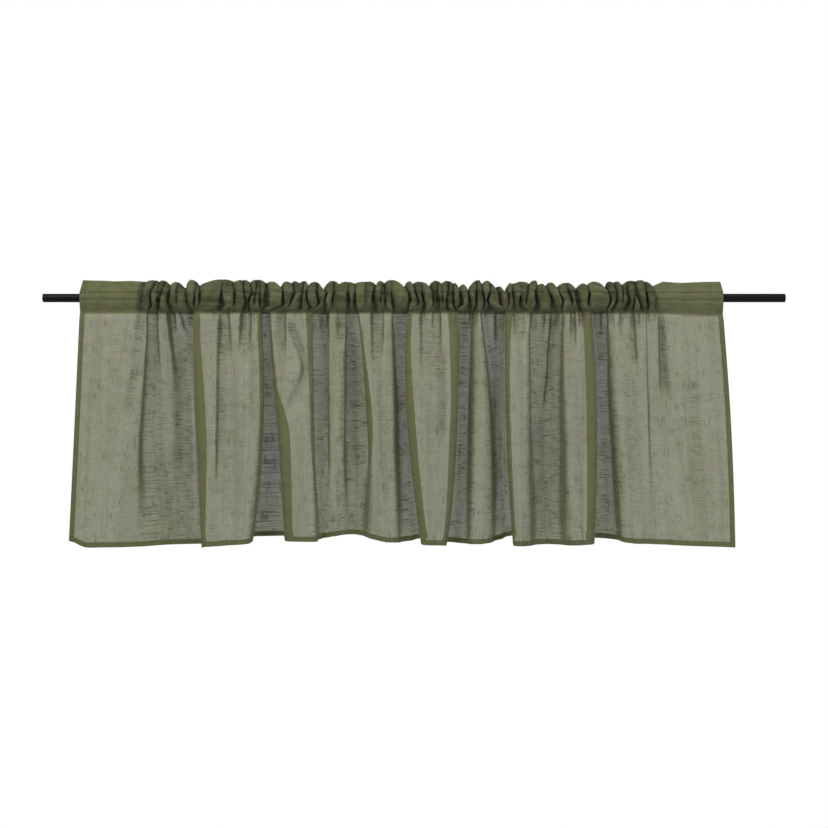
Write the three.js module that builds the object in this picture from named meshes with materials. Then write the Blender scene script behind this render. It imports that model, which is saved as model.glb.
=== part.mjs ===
// A gathered pelmet (valance) of thin linen-look cloth, hanging by its rod pocket on a plain round rod.
// Millimetres, +Z up, the cloth's face looks along -Y. The origin is on the rod's axis, half-way along it.
import * as THREE from 'three';

// ---------------------------------------------------------------- driving sizes

const ROD = { diameter: 16, length: 1390, sides: 48, edge: 1 };

// The cloth is one layer below the heading and two sewn layers in the frill.
const CLOTH = { thickness: 1.6, hemThickness: 3, hemWidth: 10 };

// The heading, from the frill's top edge down to the row of stitches that closes the rod pocket.
const HEADING = {
  frillTop: 33,
  upperStitch: 9.9,
  shoulder: 8.6,
  belly: -7,
  lowerStitch: -26,
};

// How far the small gathers of the heading stand out, each way, at each of its levels, and how far the
// frill's top edge dips between two of them.
const GATHER = { frillTop: 7, upperStitch: 2, pocket: 6, lowerStitch: 5, dip: 7 };

// The pocket's layers pass the rod at this distance from its axis, where no gather lifts them.
const POCKET_REACH = { shoulder: 9, belly: 11 };

// Each side edge of the cloth, at the top of the skirt, half-way down and at the hem.
const SIDE_LEFT = [-625, -634, -645];
const SIDE_RIGHT = [578, 593, 600];
const FRILL_INSET = 6;

// The folds from left to right. Every row is one stretch of cloth that faces forward: a pleat that stands
// forward (y below 0) or a valley that lies back. Three numbers are values at the top of the skirt,
// half-way down and at the hem.
//   y        how far forward (-) or back (+) the stretch lies
//   edge     where its right-hand fold edge shows
//   tuck     how far the cloth doubles back behind that edge, or (-) how wide its slope shows
//   hem      the height of the bottom edge there
//   gathers  how many small gathers of the heading stand over the stretch
const FOLDS = [
  { y: [-7, -9, -12], edge: [-499, -505, -492], tuck: [6, 8, -6], hem: -464, gathers: 0 },
  { y: [10, 22, 20], edge: [-409, -404, -392], tuck: [11, 15, 8], hem: -459, gathers: 4 },
  { y: [-11, -26, -26], edge: [-285, -280, -300], tuck: [9, 9, 5], hem: -463, gathers: 5 },
  { y: [11, 24, 28], edge: [-266, -251, -240], tuck: [4, 18, 12], hem: -447, gathers: 1 },
  { y: [-11, -22, -20], edge: [-188, -182, -183], tuck: [15, 11, -12], hem: -455, gathers: 3 },
  { y: [10, 22, 24], edge: [-158, -154, -145], tuck: [-4, -4, -12], hem: -448, gathers: 2 },
  { y: [-5, -2, 16], edge: [-125, -121, -132], tuck: [6, 9, -9], hem: -445, gathers: 1 },
  { y: [11, 26, 26], edge: [-104, -87, -83], tuck: [2, 9, -14], hem: -443, gathers: 2 },
  { y: [-11, -24, -14], edge: [-40, -32, -30], tuck: [7, 9, -8], hem: -454, gathers: 2 },
  { y: [11, 24, 14], edge: [-11, -13, 9], tuck: [8, 13, 13], hem: -451, gathers: 1 },
  { y: [-11, -28, -26], edge: [84, 82, 61], tuck: [20, 13, 6], hem: -461, gathers: 5 },
  { y: [11, 20, 14], edge: [113, 111, 108], tuck: [-6, -11, -9], hem: -456, gathers: 1 },
  { y: [-11, -22, -10], edge: [134, 145, 138], tuck: [4, -6, -14], hem: -457, gathers: 2 },
  { y: [11, 24, 26], edge: [169, 171, 183], tuck: [15, 11, 8], hem: -446, gathers: 2 },
  { y: [-11, -26, -26], edge: [218, 215, 215], tuck: [6, -7, -15], hem: -461, gathers: 2 },
  { y: [8, 12, 2], edge: [278, 279, 280], tuck: [2, 6, -8], hem: -459, gathers: 3 },
  { y: [-11, -26, -24], edge: [331, 336, 333], tuck: [15, 13, 10], hem: -460, gathers: 3 },
  { y: [11, 24, 24], edge: [361, 368, 379], tuck: [4, 8, -6], hem: -448, gathers: 1 },
  { y: [-10, -20, -15], edge: [434, 441, 442], tuck: [2, 9, -10], hem: -457, gathers: 4 },
  { y: [4, 4, -8], edge: [446, 454, 474], tuck: [-4, -5, -12], hem: -459, gathers: 1 },
  { y: [-7, -9, -12], edge: SIDE_RIGHT, tuck: [0, 0, 0], hem: -464, gathers: 0 },
];

// The levels of the skirt at which its folds are worked out: 0 is the lower stitch row, 1 the hem's edge.
const SKIRT_LEVELS = [0, 0.025, 0.05, 0.08, 0.3, 0.64];
const FOLDS_FORMED = 0.12;
const KEYS_PER_FOLD = 6;
const CORNER = 7;
const BOW = 3;

// ---------------------------------------------------------------- small helpers

function mix(a, b, t) {
  return a + (b - a) * t;
}

function smooth(t) {
  const c = Math.min(1, Math.max(0, t));
  return c * c * (3 - 2 * c);
}

// A value given at the top, the middle and the hem, read at level h by the parabola through the three.
function atLevel([top, middle, hem], h) {
  return top * (2 * h - 1) * (h - 1) + middle * 4 * h * (1 - h) + hem * h * (2 * h - 1);
}

// One coordinate of a Catmull-Rom curve between its points b and c.
function curveBetween(a, b, c, d, t) {
  const bend = (2 * a - 5 * b + 4 * c - d) * t * t + (3 * b - a - 3 * c + d) * t * t * t;
  return 0.5 * (2 * b + (c - a) * t + bend);
}

// ---------------------------------------------------------------- the folds of the skirt

// Where the cloth turns from fold i into fold i + 1: the corner that ends one and the corner that starts
// the other. Seen from the front, the pleat's edge is in front and the valley's end is tucked behind it.
function turnAt(i, h) {
  const fold = FOLDS[i];
  const next = FOLDS[i + 1];
  const edge = atLevel(fold.edge, h);
  const tuck = atLevel(fold.tuck, h);
  const yEnd = atLevel(fold.y, h);
  const yStart = atLevel(next.y, h);
  const pleatFirst = yEnd < yStart;
  return {
    end: { x: pleatFirst ? edge : edge + tuck, y: yEnd },
    start: { x: pleatFirst ? edge - tuck : edge, y: yStart },
  };
}

// The key points of fold i at level h: its half of the turn before it, two points that round its first
// corner, its middle, and two that round its last corner.
function foldKeys(i, h) {
  const fold = FOLDS[i];
  const y = atLevel(fold.y, h);
  const before = i > 0 ? turnAt(i - 1, h) : null;
  const after = i < FOLDS.length - 1 ? turnAt(i, h) : null;
  const left = before ? before.start : { x: atLevel(SIDE_LEFT, h), y };
  const right = after ? after.end : { x: atLevel(SIDE_RIGHT, h), y };
  const along = Math.min(CORNER, (right.x - left.x) / 4);
  const bow = Math.sign(y) * BOW * smooth(h / FOLDS_FORMED);
  const middle = { x: (left.x + right.x) / 2, y: y + bow };
  const leftInner = { x: left.x + along, y };
  const rightInner = { x: right.x - along, y };
  if (!before) {
    const inHem = { x: left.x + CLOTH.hemWidth, y };
    const pastHem = { x: left.x + 2 * CLOTH.hemWidth, y };
    return [left, inHem, pastHem, middle, rightInner, towards(right, after.start, CORNER)];
  }
  const entry = { x: (before.end.x + left.x) / 2, y: (before.end.y + left.y) / 2 };
  const rounded = towards(left, before.end, CORNER);
  if (!after) {
    const inHem = { x: right.x - CLOTH.hemWidth, y };
    const pastHem = { x: right.x - 2 * CLOTH.hemWidth, y };
    return [entry, rounded, leftInner, middle, pastHem, inHem, right];
  }
  return [entry, rounded, leftInner, middle, rightInner, towards(right, after.start, CORNER)];
}

// The point at a given distance from a towards b, and never past a third of the way.
function towards(a, b, distance) {
  const length = Math.hypot(b.x - a.x, b.y - a.y);
  const t = Math.min(distance / Math.max(length, 1e-6), 1 / 3);
  return { x: mix(a.x, b.x, t), y: mix(a.y, b.y, t) };
}

function sectionKeys(h) {
  return FOLDS.flatMap((fold, i) => foldKeys(i, h));
}

// ---------------------------------------------------------------- the columns of the cloth

// Upright lines in the cloth. Each fold has three columns to a gather and never fewer than its key points,
// so that every level of the skirt bends at the same columns.
function makeColumns() {
  const columns = [];
  FOLDS.forEach((fold, i) => {
    const count = Math.max(KEYS_PER_FOLD, 3 * fold.gathers);
    for (let n = 0; n < count; n += 1) {
      columns.push({ fold: i, t: n / count });
    }
  });
  columns.push({ fold: FOLDS.length - 1, t: 1 });
  return columns;
}

const COLUMNS = makeColumns();

function skirtPoint(keys, column) {
  const position = (column.fold + column.t) * KEYS_PER_FOLD;
  const k = Math.min(Math.floor(position), keys.length - 2);
  const t = position - k;
  const a = keys[Math.max(k - 1, 0)];
  const b = keys[k];
  const c = keys[k + 1];
  const d = keys[Math.min(k + 2, keys.length - 1)];
  return { x: curveBetween(a.x, b.x, c.x, d.x, t), y: curveBetween(a.y, b.y, c.y, d.y, t) };
}

// How far a column of a flat end stands from the side edge: two hem widths for the first two columns and
// the rest shared out evenly.
function fromSideEdge(steps, width) {
  const hems = 2 * CLOTH.hemWidth;
  return steps <= 2 ? steps * CLOTH.hemWidth : mix(hems, width, (steps - 2) / (KEYS_PER_FOLD - 2));
}

// Along the heading the same columns stand in order, shared out between the folds' edges.
function headingX(column) {
  const left = column.fold > 0 ? FOLDS[column.fold - 1].edge[0] : SIDE_LEFT[0];
  const right = FOLDS[column.fold].edge[0];
  if (column.fold === 0) {
    return left + fromSideEdge(column.t * KEYS_PER_FOLD, right - left);
  }
  if (column.fold === FOLDS.length - 1) {
    return right - fromSideEdge((1 - column.t) * KEYS_PER_FOLD, right - left);
  }
  return mix(left, right, column.t);
}

// A gather's wave: 1 on its ridge, -1 in the crease between two gathers. The flat ends have none, and the
// gathers are uneven.
function gatherWave(column) {
  const { gathers } = FOLDS[column.fold];
  if (gathers === 0) {
    return 0;
  }
  const unevenness = 0.8 + 0.2 * Math.sin(2.3 * column.fold + 5 * column.t);
  return -Math.cos(2 * Math.PI * gathers * column.t) * unevenness;
}

function hemHeight(column) {
  const here = FOLDS[column.fold].hem;
  const near = column.t < 0.5 ? FOLDS[Math.max(column.fold - 1, 0)].hem
    : FOLDS[Math.min(column.fold + 1, FOLDS.length - 1)].hem;
  return mix(here, near, 0.5 * smooth(Math.abs(2 * column.t - 1)));
}

// ---------------------------------------------------------------- rows of points across the cloth

// A level row of the skirt's middle surface. Just under the heading it passes from gathers to folds.
function skirtRow(h) {
  const keys = sectionKeys(h);
  const formed = smooth(h / FOLDS_FORMED);
  return COLUMNS.map((column) => {
    const folded = skirtPoint(keys, column);
    const yGathered = -GATHER.lowerStitch * gatherWave(column);
    return {
      x: mix(headingX(column), folded.x, formed),
      y: mix(yGathered, folded.y, formed),
      z: mix(HEADING.lowerStitch, hemHeight(column), h),
    };
  });
}

// How far a column takes part in the gathers: not at all on the two flat ends.
function gathered(column) {
  return FOLDS[column.fold].gathers > 0 ? 1 : 0;
}

// The frill's top edge stands highest on a gather's ridge and dips unevenly in the creases.
function frillHeight(column) {
  const inCrease = 0.5 * (1 - gatherWave(column)) * gathered(column);
  const unevenness = 0.7 + 0.3 * Math.sin(1.7 * column.fold + 9 * column.t);
  return HEADING.frillTop - GATHER.dip * inCrease * unevenness;
}

// A row of the heading's middle surface. The side edges of the frill slope in a little.
function headingRow(z, yOf) {
  const frillShare = Math.max(0, (z - HEADING.upperStitch) / (HEADING.frillTop - HEADING.upperStitch));
  const xMiddle = (SIDE_LEFT[0] + SIDE_RIGHT[0]) / 2;
  const halfWidth = (SIDE_RIGHT[0] - SIDE_LEFT[0]) / 2;
  return COLUMNS.map((column) => {
    const x = headingX(column);
    const inset = FRILL_INSET * frillShare * ((x - xMiddle) / halfWidth) ** 9;
    return { x: x - inset, y: yOf(gatherWave(column), gathered(column)), z };
  });
}

// The front layer of the pocket stands before the rod and the back layer behind it. The gathers of both
// lean the same way, because both layers are gathered as one.
function pocketRow(z, side, reach) {
  return headingRow(z, (wave, share) => side * (reach + GATHER.pocket * share) - GATHER.pocket * wave);
}

// Whether a column runs in one of the two hems at the sides of the cloth.
function inSideHem(i) {
  return i < 2 || i > COLUMNS.length - 3;
}

// The row set off from the middle surface along the level normals, mitred at the bends: towards the face
// of the cloth when the distance is negative, towards its back when it is positive. The side hems are
// thicker than the single cloth.
function offsetRow(row, level) {
  const longestMitre = 1.8;
  const normals = row.slice(1).map((p, i) => {
    const dx = p.x - row[i].x;
    const dy = p.y - row[i].y;
    const length = Math.hypot(dx, dy);
    return { x: -dy / length, y: dx / length };
  });
  return row.map((p, i) => {
    const atHem = Math.sign(level) * Math.max(Math.abs(level), CLOTH.hemThickness / 2);
    const distance = inSideHem(i) ? atHem : level;
    const a = normals[Math.max(i - 1, 0)];
    const b = normals[Math.min(i, normals.length - 1)];
    const sum = { x: a.x + b.x, y: a.y + b.y };
    const half = Math.hypot(sum.x, sum.y) / 2;
    const reach = distance * Math.min(1 / half, longestMitre) / (2 * half);
    return { x: p.x + sum.x * reach, y: p.y + sum.y * reach, z: p.z };
  });
}

// ---------------------------------------------------------------- the cloth solid

// Rings of rows, each row joined to the next all the way round and closed by a flat cap at either end.
class RowSolid {
  constructor() {
    this.positions = [];
    this.indices = [];
  }

  addRow(row) {
    const first = this.positions.length / 3;
    row.forEach((p) => this.positions.push(p.x, p.y, p.z));
    return first;
  }

  point(index) {
    return new THREE.Vector3().fromArray(this.positions, 3 * index);
  }

  // Four corners in order round a face, split along the shorter diagonal.
  quad(a, b, c, d) {
    const alongAC = this.point(a).distanceTo(this.point(c));
    const alongBD = this.point(b).distanceTo(this.point(d));
    this.indices.push(...(alongAC <= alongBD ? [a, b, c, a, c, d] : [a, b, d, b, c, d]));
  }

  // The wall between two rows of points, from the row that starts at a to the row that starts at b.
  wall(a, b, count) {
    for (let i = 0; i < count - 1; i += 1) {
      this.quad(a + i, a + i + 1, b + i + 1, b + i);
    }
  }

  ring(starts, count) {
    starts.forEach((start, i) => this.wall(start, starts[(i + 1) % starts.length], count));
  }

  // The flat end of the solid at one column: the outline of the outside ring less that of the inside ring.
  cap(outside, inside, column, side) {
    const corner = (start) => start + column;
    const flat = (index) => new THREE.Vector2(this.positions[3 * index + 1], this.positions[3 * index + 2]);
    const corners = [...outside.map(corner), ...inside.map(corner)];
    const faces = THREE.ShapeUtils.triangulateShape(
      outside.map((start) => flat(corner(start))),
      [inside.map((start) => flat(corner(start)))],
    );
    faces.forEach((face) => {
      const [a, b, c] = face.map((n) => corners[n]);
      const turn = flat(b).sub(flat(a)).cross(flat(c).sub(flat(a)));
      this.indices.push(...(turn * side > 0 ? [a, b, c] : [a, c, b]));
    });
  }

  geometry() {
    const geometry = new THREE.BufferGeometry();
    geometry.setAttribute('position', new THREE.Float32BufferAttribute(this.positions, 3));
    geometry.setIndex(this.indices);
    geometry.computeVertexNormals();
    return geometry;
  }
}

function makePelmetCloth() {
  const solid = new RowSolid();
  const half = CLOTH.thickness / 2;
  const halfHem = CLOTH.hemThickness / 2;
  const count = COLUMNS.length;
  const drop = HEADING.lowerStitch - Math.min(...FOLDS.map((fold) => fold.hem));
  const hemTop = 1 - CLOTH.hemWidth / drop;

  // The skirt is one layer, two where the stitches of the heading join it, and thicker along the hem.
  const skirt = [
    { row: skirtRow(1), half: halfHem },
    { row: skirtRow(hemTop), half: halfHem },
    ...SKIRT_LEVELS.slice(1).reverse().map((h) => ({ row: skirtRow(h), half })),
    { row: skirtRow(0), half: CLOTH.thickness },
  ];
  const front = skirt.map((level) => solid.addRow(offsetRow(level.row, -level.half)));
  const back = skirt.map((level) => solid.addRow(offsetRow(level.row, level.half)));

  // The pocket's two layers part above the lower stitches and meet again at the upper ones.
  const levels = [
    { z: HEADING.belly, reach: POCKET_REACH.belly },
    { z: HEADING.shoulder, reach: POCKET_REACH.shoulder },
  ];
  const pocketFront = levels.map(({ z, reach }) => pocketRow(z, -1, reach));
  const pocketBack = levels.map(({ z, reach }) => pocketRow(z, 1, reach));
  const stitchRow = headingRow(HEADING.upperStitch, (wave) => -GATHER.upperStitch * wave);
  const frillTop = headingRow(HEADING.frillTop, (wave) => -GATHER.frillTop * wave)
    .map((p, i) => ({ ...p, z: frillHeight(COLUMNS[i]) }));
  const frillMiddle = HEADING.upperStitch + CLOTH.thickness;
  const raisedStitchRow = stitchRow.map((p) => ({ ...p, z: frillMiddle }));
  const pocketFloor = skirtRow(0).map((p) => ({ ...p, z: HEADING.lowerStitch + CLOTH.thickness }));
  const pocketRoof = stitchRow.map((p) => ({ ...p, z: HEADING.upperStitch - CLOTH.thickness }));

  const outside = [
    ...front,
    ...pocketFront.map((row) => solid.addRow(offsetRow(row, -half))),
    solid.addRow(offsetRow(raisedStitchRow, -CLOTH.thickness)),
    solid.addRow(offsetRow(frillTop, -CLOTH.thickness)),
    solid.addRow(offsetRow(frillTop, CLOTH.thickness)),
    solid.addRow(offsetRow(raisedStitchRow, CLOTH.thickness)),
    ...pocketBack.map((row) => solid.addRow(offsetRow(row, half))).reverse(),
    ...back.reverse(),
  ];
  const inside = [
    solid.addRow(pocketFloor),
    ...pocketBack.map((row) => solid.addRow(offsetRow(row, -half))),
    solid.addRow(pocketRoof),
    ...pocketFront.map((row) => solid.addRow(offsetRow(row, half))).reverse(),
  ];
  solid.ring(outside, count);
  solid.ring(inside, count);
  solid.cap(outside, inside, 0, -1);
  solid.cap(outside, inside, count - 1, 1);
  return solid.geometry();
}

// ---------------------------------------------------------------- the rod

function makeRod() {
  const radius = ROD.diameter / 2;
  const end = ROD.length / 2;
  const profile = [
    new THREE.Vector2(0, -end),
    new THREE.Vector2(radius - ROD.edge, -end),
    new THREE.Vector2(radius, -end + ROD.edge),
    new THREE.Vector2(radius, end - ROD.edge),
    new THREE.Vector2(radius - ROD.edge, end),
    new THREE.Vector2(0, end),
  ];
  return new THREE.LatheGeometry(profile, ROD.sides);
}

// ---------------------------------------------------------------- the object

const linen = new THREE.MeshStandardMaterial({ color: 0x6f7252, roughness: 0.9, metalness: 0 });
const blackSteel = new THREE.MeshStandardMaterial({ color: 0x1c1c1e, roughness: 0.4, metalness: 0.6 });

const cloth = new THREE.Mesh(makePelmetCloth(), linen);
cloth.name = 'cloth';

const rod = new THREE.Mesh(makeRod(), blackSteel);
rod.name = 'rod';
rod.rotation.z = -Math.PI / 2;

const pelmet = new THREE.Group();
pelmet.add(rod, cloth);

export default pelmet;
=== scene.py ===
# A gathered pelmet of thin olive linen voile, hanging by its rod pocket on a round black rod.
# Metres, +Z up, the face of the cloth looks along -Y. The origin is on the rod's axis, half-way along it.
import math

import bpy
import numpy as np
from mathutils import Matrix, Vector


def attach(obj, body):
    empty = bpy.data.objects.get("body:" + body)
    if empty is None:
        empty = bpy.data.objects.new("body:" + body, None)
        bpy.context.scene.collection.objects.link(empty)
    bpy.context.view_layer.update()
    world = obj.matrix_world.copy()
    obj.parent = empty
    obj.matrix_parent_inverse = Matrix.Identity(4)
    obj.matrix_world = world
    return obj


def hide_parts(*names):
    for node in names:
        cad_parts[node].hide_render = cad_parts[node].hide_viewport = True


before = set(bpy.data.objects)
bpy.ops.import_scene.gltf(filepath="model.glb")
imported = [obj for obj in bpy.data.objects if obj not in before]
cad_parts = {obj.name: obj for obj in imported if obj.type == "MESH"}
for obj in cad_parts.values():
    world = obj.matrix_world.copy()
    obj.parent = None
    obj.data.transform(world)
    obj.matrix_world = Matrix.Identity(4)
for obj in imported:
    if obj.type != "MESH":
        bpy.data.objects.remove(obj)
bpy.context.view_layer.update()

MM = 0.001

# ---- sizes of the cloth, in millimetres

FRILL_TOP = 33.0
UPPER_STITCH = 9.9
LOWER_STITCH = -26.0
SIDE_LEFT = (-625, -634, -645)  # the side edge at the top of the skirt, half-way down and at the hem
SIDE_RIGHT = (578, 593, 600)
HEM_WIDTH = 9.4
FRILL_INSET = 6.0

# The folds of the skirt from left to right: how far back each lies, where its right-hand edge shows, how far
# the cloth doubles back behind that edge (or, below 0, how wide its slope shows) and from which level, the
# height of its hem at its left and right, and how soft that turn is. Three numbers are top, middle and hem.
FOLDS = (
    # back              edge                 tuck          from  hem           rounding
    ((-7, -9, -8), (-499, -514, -526), (0.6, -3, -34), 0, (-468.5, -465), 9),
    ((10, 22, 7), (-413, -406, -396), (11, 14, 8), 0, (-466, -459), 3.5),
    ((-11, -26, -26), (-285, -280, -299), (11, 11, 9), 0, (-468, -455), 6),
    ((11, 24, 28), (-270, -254, -242), (17, 18, 12.5), 0.29, (-449.5, -447), 5),
    ((-11, -22, -20), (-188, -184, -183), (17, 13, -2), 0, (-454, -456), 4),
    ((10, 14, 16), (-158, -157, -149), (-3, -4, -16), 0, (-454, -449.5), 6),
    ((-5, -2, 14), (-125, -126, -135), (5, 5, -16), 0, (-448, -445), 12),
    ((11, 26, 22), (-104, -88, -83), (0.8, 12, -14), 0, (-444, -445.5), 9),
    ((-11, -24, -14), (-40, -39, -38), (0.8, -9, -22), 0, (-451, -458.5), 14),
    ((11, 24, 14), (-11, -12, 12), (8, 13, 13), 0, (-457.5, -448), 3.5),
    ((-11, -28, -26), (84, 82, 59), (20, 13, 6), 0, (-460, -462.5), 3.5),
    ((11, 20, 14), (113, 111, 108), (-6, -11, -11), 0, (-457, -461), 10),
    ((-11, -22, -10), (126, 142, 142), (0.6, -5, -12), 0, (-461, -460), 11),
    ((11, 24, 26), (169, 171, 183), (16, 12, 10), 0, (-456, -443), 3.5),
    ((-11, -26, -24), (218, 215, 215), (0.6, -5, -18), 0, (-463, -463.5), 8),
    ((5, 24, 16), (278, 281, 294), (0.6, -6, -24), 0, (-462.5, -462.5), 10),
    ((-11, -26, -24), (332, 339, 335), (15, 13, 10), 0, (-463, -458.5), 3.5),
    ((11, 24, 24), (361, 373, 393), (0.6, -5, -15), 0, (-450.5, -453), 10),
    ((-8, -16, -10), (434, 435, 442), (-3, -6, -12), 0, (-458.5, -460.5), 6),
    ((-7, -7, -9), (460, 468, 486), (-6, -10, -12), 0, (-461, -461.5), 14),
    ((-7, -9, -12), SIDE_RIGHT, (0, 0, 0), 0, (-462, -466.5), 7),
)
FOLD_COUNT = len(FOLDS)
KEYS = 6  # key points of a fold
EASE, EASED_FULLY = 0.8, 3.0  # how far short of its corner a fold edge shows that doubles back this far
BOW, BOW_SHARE = 3.0, 0.08  # how far a wide fold is bowed, and a narrow one as a share of its width
BEFORE_DOUBLING = -3.0  # width of the slope above the level from which a fold doubles back
DOUBLING_REACH = 0.26  # share of the drop over which the doubling grows
SHARP_AT_TOP, SOFT_AT_HEM = 0.6, 1.3  # a turn is sharper at the gathers and softer at the hem
FORMED = 0.035  # share of the drop in which the gathers pass into the folds

# The gathers of the heading: where the crease beside each runs at the frill's top, at the upper stitches,
# half-way down the pocket and at its foot, how far it lies open at three of these (0 where it has closed),
# and how deep it goes (1 is down to the rod).
GATHERS = (
    # top stitches half foot  open: top, stitches, foot  depth
    (-502, -508, -509, -511, 4.5, 5.5, 7.5, 0.35),
    (-485, -492, -492, -489, 3, 3, 5.5, 1),
    (-477, -479, -479, -477, 2, 0, 3.5, 1),
    (-465, -472, -474, -474, 3, 3, 0, 0.9),
    (-454, -457, -460, -455, 3, 5.5, 7.5, 0.9),
    (-442, -442, -442, -442, 2, 3.5, 0, 0.5),
    (-427, -425, -423, -421, 5.5, 2, 5.5, 0.5),
    (-408, -410, -410, -413, 2, 2, 3.5, 1),
    (-400, -399, -400, -401, 2, 3, 0, 0.8),
    (-360, -358, -358, -355, 0, 2, 16, 0.9),
    (-338, -335, -335, -335, 3.5, 3.5, 0, 1),
    (-320, -317, -315, -316, 5.5, 1.5, 4, 1),
    (-307, -301, -308, -310, 3, 3.5, 2, 0.9),
    (-295, -296, -297, -298, 2, 3, 0, 0.8),
    (-285, -288, -288, -287, 0, 2, 3, 1),
    (-275, -274, -276, -273, 7.5, 9.5, 14, 0.85),
    (-248, -244, -243, -242, 3, 1.5, 9.5, 1),
    (-227, -224, -229, -232, 2, 5.5, 0, 1),
    (-205, -208, -212, -212, 4.5, 2, 7.5, 0.8),
    (-197, -200, -198, -190, 2, 2, 6.5, 1),
    (-182, -182, -178, -176, 7.5, 3, 3, 1),
    (-169, -163, -167, -165, 3, 3, 3.5, 1),
    (-149, -148, -152, -152, 4.5, 3.5, 0, 0.9),
    (-124, -123, -121, -120, 2, 3.5, 7.5, 1),
    (-109, -111, -111, -111, 2, 3, 6.5, 0.9),
    (-90, -88, -90, -90, 3.5, 5.5, 0, 0.4),
    (-71, -75, -74, -72, 3.5, 5.5, 13, 0.95),
    (-61, -61, -62, -62, 0, 2, 0, 0.8),
    (-53, -54, -54, -54, 3, 5.5, 0, 0.9),
    (-39, -41, -39, -36, 0, 1, 9.5, 0.9),
    (-18, -9, -7, -13, 3, 5.5, 3.5, 1),
    (-2, 3, 7, 9, 3, 3.5, 0, 1),
    (15, 16, 19, 21, 0, 3.5, 5.5, 1),
    (28, 36, 37, 37, 3, 5.5, 0, 0.9),
    (44, 43, 44, 45, 3, 3.5, 9.5, 1),
    (52, 54, 54, 54, 2, 3, 0, 0.6),
    (64, 64, 62, 62, 5.5, 3.5, 4, 1),
    (74, 73, 73, 75, 3.5, 3, 3, 1),
    (83, 88, 88, 87, 2, 5.5, 11, 0.9),
    (101, 102, 105, 106, 3, 2, 11, 0.85),
    (118, 116, 116, 117, 3, 3.5, 3, 1),
    (127, 129, 131, 131, 4.5, 3, 1, 1),
    (143, 142, 138, 144, 4.5, 3.5, 3, 1),
    (153, 159, 162, 163, 3, 5.5, 5.5, 0.8),
    (170, 176, 176, 176, 2, 3, 0, 0.9),
    (184, 186, 187, 187, 3, 3.5, 1, 1),
    (197, 199, 199, 199, 0, 0, 9.5, 0.9),
    (216, 211, 209, 209, 3.5, 3, 0, 0.8),
    (232, 228, 229, 230, 3, 3.5, 9.5, 1),
    (246, 254, 260, 261, 3.5, 4, 11, 1),
    (267, 271, 278, 276, 2, 1.5, 3.5, 0.9),
    (285, 290, 294, 294, 3, 3.5, 0, 1),
    (302, 305, 307, 308, 3.5, 9.5, 7.5, 1),
    (323, 327, 326, 328, 2, 3.5, 3.5, 1),
    (359, 364, 366, 361, 3, 3, 3.5, 1),
    (376, 380, 379, 374, 5.5, 3.5, 5.5, 0.9),
    (387, 390, 390, 388, 2, 2, 0, 0.8),
    (399, 398, 401, 396, 2, 3.5, 9.5, 1),
    (408, 411, 411, 408, 0, 0, 3.5, 0.8),
    (415, 417, 422, 427, 3, 3.5, 5.5, 1),
    (431, 433, 435, 440, 4.5, 3.5, 3, 1),
    (446, 451, 453, 453, 0, 0, 15, 0.25),
)

# The frill's top edge: each hump's place and height, and the notch to its right.
FRILL_HUMPS = (
    # hump x, height, notch x, height
    (-483, 33.2, -478, 29),
    (-470, 32.4, -455, 22.5),
    (-444, 29.4, -428, 16),
    (-416, 33.7, -401, 22),
    (-356, 34.2, -335, 29),
    (-318, 33.7, -307, 29),
    (-292, 34, -277, 27.5),
    (-265, 30.3, -250, 20),
    (-237, 30.3, -230, 26.2),
    (-224, 31.3, -214, 26.2),
    (-205, 32.2, -198, 23.4),
    (-184, 30, -170, 13.1),
    (-151, 31.8, -140, 24.3),
    (-125, 30, -112, 27.2),
    (-84, 30.3, -71, 23.4),
    (-63, 31.3, -56, 27.5),
    (-41, 33.2, -19, 19.7),
    (-8, 30.5, -3, 25.3),
    (9, 30.5, 28, 21.9),
    (41, 32.2, 51, 26.2),
    (63, 32.4, 71, 28.1),
    (77, 28.1, 83, 16.9),
    (92, 24.9, 100, 12.2),
    (120, 33.2, 127, 25.7),
    (137, 31.8, 151, 18.2),
    (160, 21.5, 169.5, 7.5),
    (180, 27.5, 188, 26.5),
    (199, 30, 215, 25.7),
    (226, 32.4, 232, 24.3),
    (239, 26.2, 245, 20.6),
    (255, 29, 266, 18.7),
    (286, 28.5, 302, 15),
    (315, 26.2, 323, 23.4),
    (337, 30.5, 357, 17.8),
    (363, 30, 371, 28.1),
    (380, 30.5, 388, 22.5),
    (404, 31.8, 415, 31),
    (424, 32.8, 446, 21.9),
)
# The frill's top edge over the flat ends: places and heights up to the first hump, and on from the last.
FRILL_LEFT = ((SIDE_LEFT[0], 33.0), (-585, 32.2), (-560, 31.0), (-530, 31.8), (-500, 30.0))
FRILL_RIGHT = ((446, 21.9), (466, 30.3), (500, 28.0), (545, 30.0), (SIDE_RIGHT[0], 30.3))
HUMP_SHAPE = 0.75  # 1 is a plain wave, less is flatter with sharper notches
FRILL_LEVEL = 26.0  # the height at which the frill's places along the rod are read

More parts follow.
